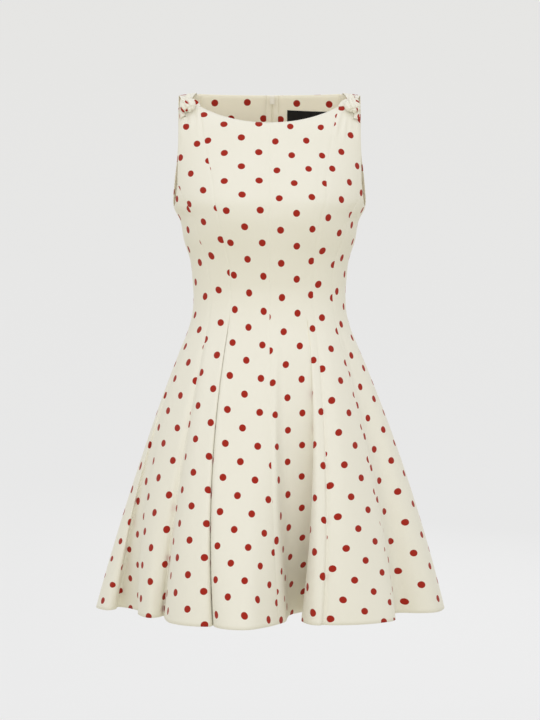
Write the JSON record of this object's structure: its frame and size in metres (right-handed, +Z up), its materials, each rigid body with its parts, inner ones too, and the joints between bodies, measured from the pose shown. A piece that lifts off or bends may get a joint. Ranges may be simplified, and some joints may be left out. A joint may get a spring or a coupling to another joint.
{
  "type": "a-line dress",
  "caption": "Sleeveless a-line dress, filled out and hollow, with princess-seamed gores, a fluted skirt, a tie on each shoulder and a back zip.",
  "frame": {"origin": "midway between the shoulder straps, where a hanger or a wearer's shoulders carry the dress", "axes": "+Z up, front of the dress faces -Y, +X is the wearer's left"},
  "size_m": [0.575, 0.51, 0.8534],
  "materials": {
    "printed_cloth": "matt cream dress cloth printed with red dots",
    "facing_cloth": "matt cream dress cloth, the printed facing inside the back neck",
    "label_weave": "black satin-woven label, bare",
    "zip_tape": "matt cream woven tape",
    "zip_metal": "cream enamel on metal"
  },
  "bodies": {
    "dress": {"back_facing_l": "facing_cloth", "back_facing_r": "facing_cloth", "centre_back_l": "printed_cloth", "centre_back_r": "printed_cloth", "centre_front_l": "printed_cloth", "centre_front_r": "printed_cloth", "knot_l": "printed_cloth", "knot_r": "printed_cloth", "mid_front_l": "printed_cloth", "mid_front_r": "printed_cloth", "neck_label": "label_weave", "side_back_l": "printed_cloth", "side_back_r": "printed_cloth", "side_front_l": "printed_cloth", "side_front_r": "printed_cloth", "strap_back_l": "printed_cloth", "strap_back_r": "printed_cloth", "strap_front_l": "printed_cloth", "strap_front_r": "printed_cloth", "tail_side_l": "printed_cloth", "tail_side_r": "printed_cloth", "tail_top_l": "printed_cloth", "tail_top_r": "printed_cloth", "zip_slider": "zip_metal", "zip_tape_l": "zip_tape", "zip_tape_r": "zip_tape"},
    "pull_tab": {"pull_tab": "zip_metal"}
  },
  "joints": [
    {"name": "pull_tab_swing", "type": "hinge", "parent": "dress", "child": "pull_tab", "pos_m": [0.0044, 0.0609, 0.0036], "axis": [1, 0, 0], "range_deg": [0, 160]}
  ]
}
